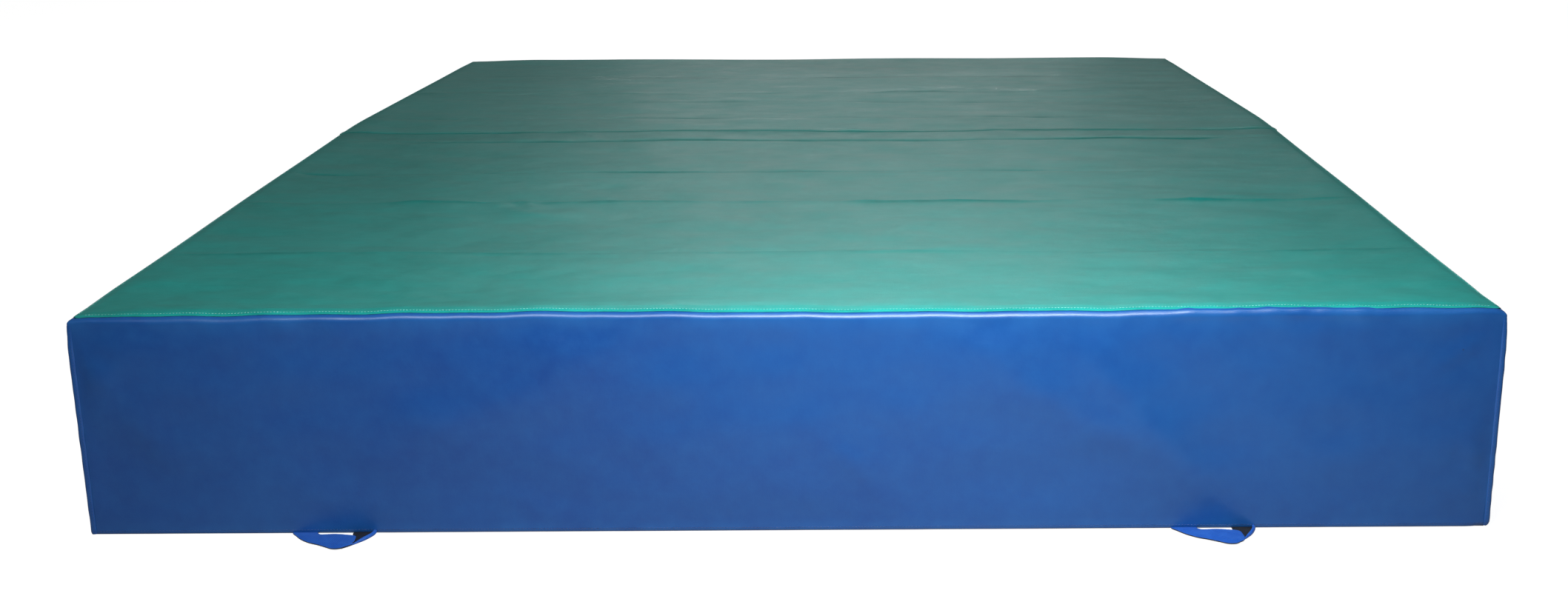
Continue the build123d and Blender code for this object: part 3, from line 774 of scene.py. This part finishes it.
def corner_lift(corner, p, z):
    seed = 500 + list(CORNERS).index(corner)
    bulge = 0.0018 * np.maximum(1 - (p / BINDING) ** 2, 0) * smooth((HEIGHT - BINDING_TOP - z) / 0.04)
    tucked = HELD_DOWN * smooth((z - HEIGHT + BINDING_TOP + 0.008) / 0.008)
    return 0.0001 + bulge - tucked + 0.00015 * field(z, p, (0.035, 0.05), seed, 8)


def corner_strip(corner):
    p, z = np.meshgrid(np.linspace(-BINDING, BINDING, 15), np.linspace(0.002, HEIGHT - BINDING_TOP, 90))
    x, y = corner_place(corner, p)
    lift = corner_lift(corner, p, z)
    pinch = 0.5 * VINYL * smooth((np.abs(p) - BINDING + 0.002) / 0.002)
    outer, inner = cover(x, y, z, lift - pinch), cover(x, y, z, lift - THIN_SKIN)
    obj = closed_sheet(f"corner_strip_{corner}", outer, inner, BLUE_X, BACKING)
    set_wear_and_shading(obj, smooth((0.0045 - np.abs(p)) / 0.003) * (0.6 + 0.4 * smooth((0.03 - z) / 0.03)))
    on_cover(obj, "blue_vinyl", f"corner_binding_{corner}")


for corner in CORNERS:
    corner_strip(corner)


# Stitching: how far in each row lies from the edge of the fabric that it holds
TOP_ROW, LAP_ROW, CORNER_ROW, FOOT_ROW, ZIP_ROW = 0.0055, 0.0025, 0.0022, 0.0065, 0.0025


def bead():
    """A stitch: a short thread with rounded ends, one long along X and one wide."""
    sides, verts, faces = 6, [(-0.5, 0, 0)], []
    turns = [math.tau * k / sides for k in range(sides)]
    for x, r in ((-0.34, 0.42), (0.0, 0.5), (0.34, 0.42)):
        verts += [(x, r * math.cos(turn), r * math.sin(turn)) for turn in turns]
    verts.append((0.5, 0, 0))
    last = len(verts) - 1
    for k in range(sides):
        n = (k + 1) % sides
        faces.append((0, 1 + n, 1 + k))
        for first in (1, 1 + sides):
            faces.append((first + k, first + n, first + sides + n, first + sides + k))
        faces.append((last - sides + k, last - sides + n, last))
    return np.array(verts), faces


def stitch_rows(name, seed, slot, node, mat, runs, length, width):
    """Separate stitches along runs, each of a row's places and lift on the cover."""
    rng = np.random.default_rng(seed)
    shape, faces = bead()
    verts, all_faces = [], []
    for x, y, z, lift in runs:
        points = cover(x, y, z, lift)
        outward = cover(x, y, z, lift + 0.01) - points
        along = np.concatenate([[0], np.cumsum(np.linalg.norm(np.diff(points, axis=0), axis=1))])
        count = max(2, int(along[-1] / STITCH))
        spots = (np.arange(count) + 0.5) * along[-1] / count
        wanted = (spots, points), (spots + 0.001, points), (spots - 0.001, points), (spots, outward)
        centre, ahead, behind, up = (
            np.stack([np.interp(places, along, values[:, k]) for k in range(3)], -1)
            for places, values in wanted
        )
        way = ahead - behind
        way /= np.linalg.norm(way, axis=1, keepdims=True)
        up -= way * (up * way).sum(1, keepdims=True)
        up /= np.linalg.norm(up, axis=1, keepdims=True)
        wide = np.cross(up, way)
        way = way + wide * rng.normal(0.06, 0.05, (count, 1))
        centre = centre + up * width * rng.uniform(0.12, 0.3, (count, 1))
        long = length * rng.uniform(0.9, 1.08, (count, 1))
        for k in range(count):
            across = shape[:, 1:2] * wide[k] + shape[:, 2:] * up[k]
            local = shape[:, :1] * way[k] * long[k] + width * across
            base = len(verts) * len(shape)
            verts.append(centre[k] + local)
            all_faces += [[base + i for i in f] for f in faces]
    mesh = bpy.data.meshes.new(name)
    mesh.from_pydata(np.concatenate(verts).tolist(), [], all_faces)
    mesh.shade_smooth()
    mesh.materials.append(mat)
    on_cover(link(name, mesh), slot, node)


def top_edge_runs():
    inset = GREEN_EDGE + TOP_ROW
    xs = np.linspace(-HALF_W + inset + 0.012, HALF_W - inset - 0.012, 900)
    ys = np.linspace(-HALF_L + inset + 0.012, HALF_L - inset - 0.012, 1300)
    step = LAP_STEP * smooth((ys + LAP) / 0.004) * smooth((3 * LAP - ys) / (1.5 * LAP))
    for side in (-1, 1):
        y = side * (HALF_L - inset) + 0 * xs
        yield xs, y, HEIGHT, top_relief(xs, y)
        x = side * (HALF_W - inset) + 0 * ys
        yield x, ys, HEIGHT, top_relief(x, ys) + step


def lap_runs():
    x = np.linspace(-HALF_W + GREEN_EDGE, HALF_W - GREEN_EDGE, 900)
    for y in (-LAP + LAP_ROW + 0 * x, LAP - LAP_ROW + 0 * x):
        yield x, y, HEIGHT, top_relief(x, y) + LAP_STEP


def corner_runs():
    z = np.linspace(0.006, HEIGHT - BINDING_TOP - 0.003, 200)
    for corner in CORNERS:
        for p in (-BINDING + CORNER_ROW, BINDING - CORNER_ROW):
            x, y = corner_place(corner, p)
            yield x + 0 * z, y + 0 * z, z, corner_lift(corner, p + 0 * z, z)


def side_run(side, a, t):
    """A row along a side, at a distance t from the sharp top edge."""
    t = t + 0 * a
    return *side_places(side, a, t), side_relief(side, a, t) - VINYL


def foot_runs():
    for side, (_, _, half, _) in SIDES.items():
        yield side_run(side, np.linspace(-half + 0.010, half - 0.010, 1200), HEIGHT - FOOT_ROW)


def zip_runs():
    for height in (ZIP_EDGE - ZIP_ROW, 2 * ZIP_HEIGHT - ZIP_EDGE + ZIP_ROW):
        yield side_run("back", np.linspace(-ZIP_HALF, ZIP_HALF, 900), HEIGHT - unsagged(height, HALF_L))


# Name, slot, CAD node, material, runs, and a stitch's length and width
STITCHES = (
    ("top_edge", "green_thread", "top_edge_stitching", GREEN_THREAD, top_edge_runs(), 0.0029, 0.0008),
    ("lap", "green_thread", "centre_seam_stitching", LAP_THREAD, lap_runs(), 0.0033, 0.0009),
    ("corner", "blue_thread", "corner_stitching", BLUE_THREAD, corner_runs(), 0.0027, 0.0005),
    ("foot", "blue_thread", "base_edge_stitching", BLUE_THREAD, foot_runs(), 0.0033, 0.0007),
    ("zip", "blue_thread", "zip_stitching", BLUE_THREAD, zip_runs(), 0.0033, 0.0007),
)
for number, (name, *rest) in enumerate(STITCHES):
    stitch_rows(name + "_stitches", 1 + number, *rest)


# Zip
TOOTH_PITCH = 0.0025
# A tooth's outline: along the zip in shares of 0.62 of the pitch, and out from its root
TOOTH = (
    (-0.5, 0.0), (0.5, 0.0), (0.5, 0.55), (0.32, 0.62), (0.38, 0.85),
    (0.2, 1.0), (-0.2, 1.0), (-0.38, 0.85), (-0.32, 0.62), (-0.5, 0.55),
)


def zip_tape(name, node):
    """A woven tape, a little wavy."""
    low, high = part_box(node)
    x, z = np.meshgrid(np.linspace(low.x, high.x, 380), np.linspace(low.z, high.z, 9))
    wave = 0.00012 * field(x, z, (0.05, 0.03), 600)
    outer = np.stack([x, high.y + wave - 0.0001, z], -1)
    inner = np.stack([x, low.y + 0.0002 + wave, z], -1)
    obj = closed_sheet(name, outer, inner, ZIP_TAPE)
    on_cover(obj, "zip_tape", node)


def zip_teeth(name, node, up, shift):
    """Moulded teeth with rounded noses, which leave the slider's post its way."""
    low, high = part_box(node)
    root, reach = (high.z, low.z - high.z) if up else (low.z, high.z - low.z)
    u, v = np.array(TOOTH).T
    rings = []
    # From the tape outwards: share of the depth, and how narrow and short the tooth is there
    for depth, narrow, short in ((0.0, 1.0, 1.0), (0.75, 1.0, 1.0), (1.0, 0.72, 0.92)):
        y = low.y + (high.y - low.y) * depth + 0 * u
        z = root + reach * (0.02 + 0.98 * v * short)
        rings.append(np.stack([0.62 * TOOTH_PITCH * u * narrow, y, z], -1))
    tooth = np.concatenate(rings)
    size = len(TOOTH)
    faces = [
        (ring + k, ring + (k + 1) % size, ring + size + (k + 1) % size, ring + size + k)
        for ring in (0, size)
        for k in range(size)
    ]
    faces += [tuple(range(size - 1, -1, -1)), tuple(range(2 * size, 3 * size))]
    count = int((high.x - low.x) / TOOTH_PITCH) - 1
    places = low.x + TOOTH_PITCH * (np.arange(count) + 0.75 + shift)
    verts = (tooth + places[:, None, None] * np.array([1, 0, 0])).reshape(-1, 3)
    all_faces = [[k * len(tooth) + i for i in face] for k in range(count) for face in faces]
    mesh = new_mesh(name, verts.tolist(), all_faces, (ZIP_TEETH,))
    on_cover(link(name, mesh), "zip_teeth", node)


for part, up, shift in (("upper", True, 0.0), ("lower", False, 0.5)):
    zip_tape(f"tape_{part}", f"zip_tape_{part}")
    zip_teeth(f"teeth_{part}", f"zip_teeth_{part}", up, shift)

# Metal parts keep their CAD shape
for mat, nodes in (
    (ZIP_METAL, ("zip_slider", "zip_pull", "zip_top_stops", "zip_bottom_stop")),
    (EYELET_METAL, ("left_vent_eyelets", "right_vent_eyelets", "left_vent_washers", "right_vent_washers")),
):
    for node in nodes:
        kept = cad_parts[node].data
        kept.materials.clear()
        kept.materials.append(mat)

# Underside
BASE_INSET = FOOT_ROUND + 0.0015
PATCH_THICK = 0.0007  # of the tape over the seam too


def base_panel(name, node, start, end):
    edge_x = HALF_W - BASE_INSET
    x, y = np.meshgrid(rows_between(-edge_x, edge_x, 0.03), rows_between(start, end, 0.03))
    z = 0.0002 + 0.00015 * field(x, y, (0.2, 0.2), 700)
    outer, inner = np.stack([x, y, z], -1), np.stack([x, y, z + THIN_SKIN], -1)
    obj = closed_sheet(name, outer, inner, BASE, BACKING)
    set_wear_and_shading(obj, 0 * x + 0.2)
    on_cover(obj, "base_vinyl", node)


base_panel("base_front", "base_panel_front", -HALF_L + BASE_INSET, -0.0001)
base_panel("base_back", "base_panel_back", 0.0001, HALF_L - BASE_INSET)


def flat_sheets(name, node, slot, mat, thickness, grids, flat, rests_on):
    """Sheets laid on the base inside the cover, each from a grid of middle points."""
    up = np.array([0, 0, thickness / 2])
    obj, *others = [closed_sheet(name, grid + up, grid - up, mat) for grid in grids]
    join([obj.data] + [other.data for other in others], obj.data)
    for other in others:
        bpy.data.objects.remove(other)
    obj.data.attributes.new("wear_and_highlight", "FLOAT", "POINT")
    on_cover(obj, slot, node)
    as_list(rests_on)


def seam_tape():
    low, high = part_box("base_seam_tape")
    x, y = np.meshgrid(np.linspace(low.x, high.x, 90), np.linspace(low.y, high.y, 7))
    grid = np.stack([x, y, 0.0018 + 0.0002 * field(x, y, (0.1, 0.1), 710)], -1)
    flat, bases = (high.x - low.x, high.y - low.y), ["base_front", "base_back"]
    flat_sheets("seam_tape", "base_seam_tape", "base_vinyl", BASE, PATCH_THICK, [grid], flat, bases)


seam_tape()

# Foam
FOAM_INSET = 0.007  # how far its outer faces lie inside the cover
FOAM_FLOOR = 0.008  # leaves room for the handles' ends and patches
FOAM_GAP = 0.0005
FOAM_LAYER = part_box("landing_foam_front")[0].z


def foam_block(node, mat, slot, low, high):
    """A cut foam block inside the cover: its outer faces follow the cover, a little way in."""
    spans = []
    for axis in range(3):
        ends = [low[axis] + 0.012, high[axis] - 0.012]
        spans.append(rows_between(low[axis], high[axis], 0.06, ends, 0.012, 0.004))
    work = bmesh.new()
    for axis in range(3):
        first, second = [k for k in range(3) if k != axis]
        for value in (low[axis], high[axis]):
            a, b = np.meshgrid(spans[first], spans[second])
            grid = np.empty(a.shape + (3,))
            grid[..., axis], grid[..., first], grid[..., second] = value, a, b
            verts = [work.verts.new(v) for v in grid.reshape(-1, 3)]
            for face in grid_faces(*a.shape):
                work.faces.new([verts[i] for i in face])
    bmesh.ops.remove_doubles(work, verts=work.verts, dist=1e-5)
    bmesh.ops.recalc_face_normals(work, faces=work.faces)
    mesh = bpy.data.meshes.new(node + "_block")
    work.to_mesh(mesh)
    work.free()
    x, y, z = np.array([v.co for v in mesh.vertices]).T
    placed = cover(x, y, z, -FOAM_INSET + 0.0008 * field(x, y + z, (0.12, 0.09), 800))
    mesh.vertices.foreach_set("co", placed.astype(np.float32).ravel())
    mesh.update()
    shade(mesh, 40)
    mesh.materials.append(mat)
    obj = link(node + "_block", mesh)
    on_cover(obj, slot, node)


for part, start, end in (("front", -HALF_L, -FOAM_GAP), ("back", FOAM_GAP, HALF_L)):
    low, high = (-HALF_W, start, FOAM_FLOOR), (HALF_W, end, FOAM_LAYER - FOAM_GAP)
    foam_block(f"core_foam_{part}", SOFT_FOAM, "soft_foam", low, high)
    low, high = (-HALF_W, start, FOAM_LAYER + FOAM_GAP), (HALF_W, end, HEIGHT)
    foam_block(f"landing_foam_{part}", LANDING_FOAM, "landing_foam", low, high)


# Webbing handles. Places are in millimetres in a handle's own frame: along its side, out and up.
# The loop's face: rear and front edge, from the left leg to the tip that lies over the right leg
LOOP = (
    (-22, -5, 2.0, -58, -5, 1.8),
    (-22, 1, 2.0, -58, 1, 1.8),
    (-20, 5, 2.2, -52, 9, 1.8),
    (-16, 8.5, 2.6, -41, 24, 1.9),
    (-8, 9.5, 3.1, -27, 37, 2.1),
    (2, 9.5, 3.5, -12, 46, 2.4),
    (12, 11, 3.8, 1, 55, 2.6),
    (22, 13.5, 4.0, 11, 62.5, 2.9),
    (31, 16, 4.0, 19, 64.5, 3.2),
    (36, 19, 3.9, 25, 63, 3.4),
    (37.5, 24, 3.7, 30, 58, 3.4),
    (38, 31, 3.6, 34.5, 54, 3.4),
    (38.5, 38, 3.5, 38, 48.5, 3.4),
)
# The right leg under it, reverse side up: inner edge and outer edge, which curls up to a lip
LEG = (
    (28.5, -5, 1.6, 58.5, -5, 1.4),
    (28.5, 1, 1.6, 59, 1, 1.4),
    (29, 7, 1.5, 58.5, 6, 1.3),
    (31, 14, 1.5, 55.5, 15, 1.3),
    (33, 24, 1.5, 49.5, 27, 1.3),
    (30, 36, 1.5, 41, 39.5, 1.4),
    (26, 47, 1.6, 33, 50, 1.5),
    (22, 56, 1.8, 25, 59, 1.7),
)
LEG_ENDS = ((-58, -22), (30, 58))  # where the legs are sewn in, along the side
PATCH = ((-80, 80), (-3, -62))
STRAP_THICK = 0.0016
CURL = 2.0  # radius of the curled lip, in millimetres


def resample(rows, count):
    """Smoothly spaced pairs of edge points between the given ones."""
    sections = np.array(rows, float).reshape(-1, 2, 3)
    steps = np.linspace(0, len(sections) - 1, count)
    low = np.clip(np.floor(steps).astype(int), 0, len(sections) - 2)
    t = (steps - low)[:, None, None]
    before, after = 2 * sections[:1] - sections[1:2], 2 * sections[-1:] - sections[-2:-1]
    padded = np.concatenate([before, sections, after])
    a, b, c, d = (padded[low + k] for k in range(4))
    return 0.5 * (2 * b + (c - a) * t + (2 * a - 5 * b + 4 * c - d) * t**2 + (3 * b - a - 3 * c + d) * t**3)


def ribbon_sides(middle):
    """The two faces of a ribbon from the grid of its middle."""
    along, across = np.gradient(middle, axis=0), np.gradient(middle, axis=1)
    normal = np.cross(across, along)
    normal /= np.maximum(np.linalg.norm(normal, axis=-1, keepdims=True), 1e-12)
    return middle + normal * STRAP_THICK / 2, middle - normal * STRAP_THICK / 2


def loop_grid():
    edges = resample(LOOP, 46)
    u, v = np.linspace(0, 1, 46)[:, None], np.linspace(0, 1, 13)[None]
    grid = edges[:, :1] * (1 - v[..., None]) + edges[:, 1:] * v[..., None]
    # Slightly cupped, with a soft crease along it before the fold
    grid[..., 2] += 0.5 * np.sin(math.pi * v) * smooth(u / 0.2)
    grid[..., 2] += 0.5 * bell((v - 0.72) / 0.09) * smooth((u - 0.45) / 0.2)
    return grid / 1000


def leg_grid():
    edges = resample(LEG, 40)
    inner, outer = edges[:, :1], edges[:, 1:]
    flat = np.linspace(0, 1, 9)[None, :, None]
    grid = inner * (1 - flat) + outer * flat
    way = outer - inner
    way[..., 2] = 0
    way /= np.linalg.norm(way, axis=-1, keepdims=True)
    turn = np.radians(np.linspace(-70, 140, 12))[None, :, None]
    up = np.array([0, 0, 1.0])
    size = CURL * (1 - 0.85 * smooth((np.linspace(0, 1, 40)[:, None, None] - 0.55) / 0.25))
    curl = outer + up * size + size * (np.cos(turn) * way + np.sin(turn) * up)
    return np.concatenate([grid, curl], 1) / 1000


def place_of(side, place):
    """Turns points of a handle's own frame into the CAD's frame."""
    along, out, _, reach = SIDES[side]
    turn = np.array([(*along, 0), (*out, 0), (0, 0, 1)], float)
    shift = np.array([out[0] * reach + along[0] * place, out[1] * reach + along[1] * place, 0])
    return lambda points: points @ turn + shift


def ribbon(name, middle, part=slice(None), face_up=True):
    """A strip of webbing. Its part of the grid shows its face above, or below."""
    face, back = ribbon_sides(middle)
    if ((face - back)[:, part, 2].mean() > 0) != face_up:
        face, back = back, face
    return closed_sheet(name, face, back, STRAP, STRAP_BACK_SHADED)


def handle(name, side, place):
    put = place_of(side, place)
    loop = ribbon(name + "_webbing", put(loop_grid()))
    leg = ribbon("leg", put(leg_grid()), slice(8), face_up=False)
    join([loop.data, leg.data], loop.data)
    bpy.data.objects.remove(leg)
    start, end = put(np.array([(0, -0.002, 0.0016), (0, 0.004, 0.0016)]))
    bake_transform(loop)
    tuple(start)
    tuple(end)
    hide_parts(name)


def handle_hidden(side, places):
    """The sewn-in ends of a side's handles, and the patches over them."""
    ends, patches = [], []
    for place in places:
        put = place_of(side, place)
        for reach in LEG_ENDS:
            u, v = np.meshgrid(np.linspace(*reach, 9), np.linspace(-6, -50, 16))
            ends.append(put(np.stack([u, v, 2.2 + 0.25 * field(u, v, (30, 20), 900)], -1) / 1000))
        u, v = np.meshgrid(np.linspace(*PATCH[0], 33), np.linspace(*PATCH[1], 13))
        over = np.maximum(smooth((20 - np.abs(u + 40)) / 6), smooth((17 - np.abs(u - 44)) / 6))
        height = 2.4 + 1.2 * over + 0.1 * field(u, v, (25, 20), 901)
        patches.append(put(np.stack([u, v, height], -1) / 1000))
    under = {"front": ["base_front"], "back": ["base_back"]}.get(side, ["base_front", "base_back"])
    ends_name, patches_name = f"{side}_sewn_ends", f"{side}_patches"
    ends_node, patches_node = f"{side}_handle_anchors", f"{side}_handle_patches"
    flat_sheets(ends_name, ends_node, "webbing", STRAP, STRAP_THICK, ends, (0.128, 0.044), under)
    flat_sheets(patches_name, patches_node, "base_vinyl", BASE, PATCH_THICK, patches, (0.32, 0.059), under)


for side, names in (
    ("front", ("left", "right")),
    ("back", ("right", "left")),
    ("left", ("back", "front")),
    ("right", ("front", "back")),
):
    along = np.array(SIDES[side][0])
    places = []
    for name in names:
        low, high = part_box(f"{side}_handle_{name}")
        places.append(float((np.array(low[:2]) + np.array(high[:2])) @ along / 2))
        handle(f"{side}_handle_{name}", side, places[-1])
    handle_hidden(side, places)

# Camera at the photograph's viewpoint
PITCH, YAW, ROLL = math.radians(17.17), math.radians(0.31), math.radians(-0.22)
CAMERA_PLACE = (0.0868, -4.093, 1.0178)
camera_data = bpy.data.cameras.new("camera")
camera = link("camera", camera_data)
level = Vector((math.sin(YAW), math.cos(YAW), 0))
across = Vector((math.cos(YAW), -math.sin(YAW), 0))
ahead = math.cos(PITCH) * level - math.sin(PITCH) * Vector((0, 0, 1))
upward = math.sin(PITCH) * level + math.cos(PITCH) * Vector((0, 0, 1))
right = math.cos(ROLL) * across + math.sin(ROLL) * upward
top = math.cos(ROLL) * upward - math.sin(ROLL) * across
turn = Matrix((right, top, -ahead)).transposed().to_4x4()
camera.matrix_world = Matrix.Translation(CAMERA_PLACE) @ turn
camera_data.sensor_width = 36.0
camera_data.lens = 44.497
camera_data.shift_x = -0.0493
camera_data.shift_y = 0.0557
bpy.context.scene.camera = camera
bpy.context.scene.view_settings.view_transform = "Standard"

# Stage: pale floor, pale world, soft studio light
FLOOR_GLOW = 0.93
FLOOR_REACH = 30.0
WORLD_LIGHT = 0.125


def floor_material():
    """Pale floor. The camera sees it brighter than it lights the mat."""
    m = Nodes("floor")
    grey = m.mix(m.noise(3.0, 3.0), (0.38, 0.38, 0.38, 1), (0.42, 0.42, 0.42, 1))
    m.put(m.shader.inputs["Base Color"], grey)
    m.put(m.shader.inputs["Roughness"], 0.9)
    m.put(m.shader.inputs["Specular IOR Level"], 0.1)
    seen = m.math("MULTIPLY", m.add("ShaderNodeLightPath", "Is Camera Ray", {}), FLOOR_GLOW)
    glow = m.add("ShaderNodeEmission", 0, {"Color": (1, 1, 1, 1), "Strength": seen})
    both = m.add("ShaderNodeAddShader", 0, {0: m.shader.outputs[0], 1: glow})
    m.put(m.tree.nodes["Material Output"].inputs["Surface"], both)
    return m.material


corners = [(x * FLOOR_REACH, y * FLOOR_REACH, -0.0005) for x, y in ((-1, -1), (1, -1), (1, 1), (-1, 1))]
link("floor", new_mesh("floor", corners, [(0, 1, 2, 3)], (floor_material(),)))

world = bpy.data.worlds.new("studio")
bpy.context.scene.world = world
world.use_nodes = True
tree = world.node_tree
background = tree.nodes["Background"]
path = tree.nodes.new("ShaderNodeLightPath")
strength = tree.nodes.new("ShaderNodeMix")
tree.links.new(path.outputs["Is Camera Ray"], strength.inputs["Factor"])
strength.inputs["A"].default_value = WORLD_LIGHT
strength.inputs["B"].default_value = 1.0
tree.links.new(strength.outputs["Result"], background.inputs["Strength"])
background.inputs["Color"].default_value = (1, 1, 1, 1)

# Name, place, what it points at, width and height, watts
LAMPS = (
    ("key", (0.25, -2.1, 1.0), (0.25, -1.30, 0.25), (0.8, 0.3), 15.5),
    ("fill", (-0.6, -2.8, 1.6), (0.25, -1.30, 0.25), (1.0, 0.6), 17),
    ("middle", (-0.05, -0.2, 1.6), (0.15, 0.0, 0.3), (1.0, 0.8), 2.3),
    ("back", (0.1, 1.0, 1.8), (0.1, 1.0, 0.3), (1.6, 0.8), 3.4),
    ("sheen", (0.30, 6.0, 3.6), (0.15, 0.0, 0.3), (4.0, 1.5), 33),
    ("low_sheen", (0.15, 7.0, 1.6), (0.15, 0.0, 0.3), (2.5, 1.0), 8),
    ("shoulder", (0.45, -1.78, 1.35), (0.45, -1.5, 0.3), (1.1, 0.22), 4.5),
    ("left_card", (-3.0, 0.2, 0.19), (-1.0, 0.2, 0.14), (2.6, 0.2), 14),
    ("right_card", (3.0, 0.2, 0.19), (1.0, 0.2, 0.14), (2.6, 0.2), 14),
    ("back_card", (0.0, 3.4, 0.16), (0.0, 1.5, 0.14), (1.8, 0.2), 14),
)
for name, place, target, size, watts in LAMPS:
    lamp = bpy.data.lights.new(name, "AREA")
    lamp.shape = "RECTANGLE"
    lamp.size, lamp.size_y = size
    lamp.energy = watts
    holder = link(name, lamp)
    holder.location = place
    holder.rotation_mode = "QUATERNION"
    holder.rotation_quaternion = (Vector(target) - Vector(place)).to_track_quat("-Z", "Y")
    holder.visible_camera = False
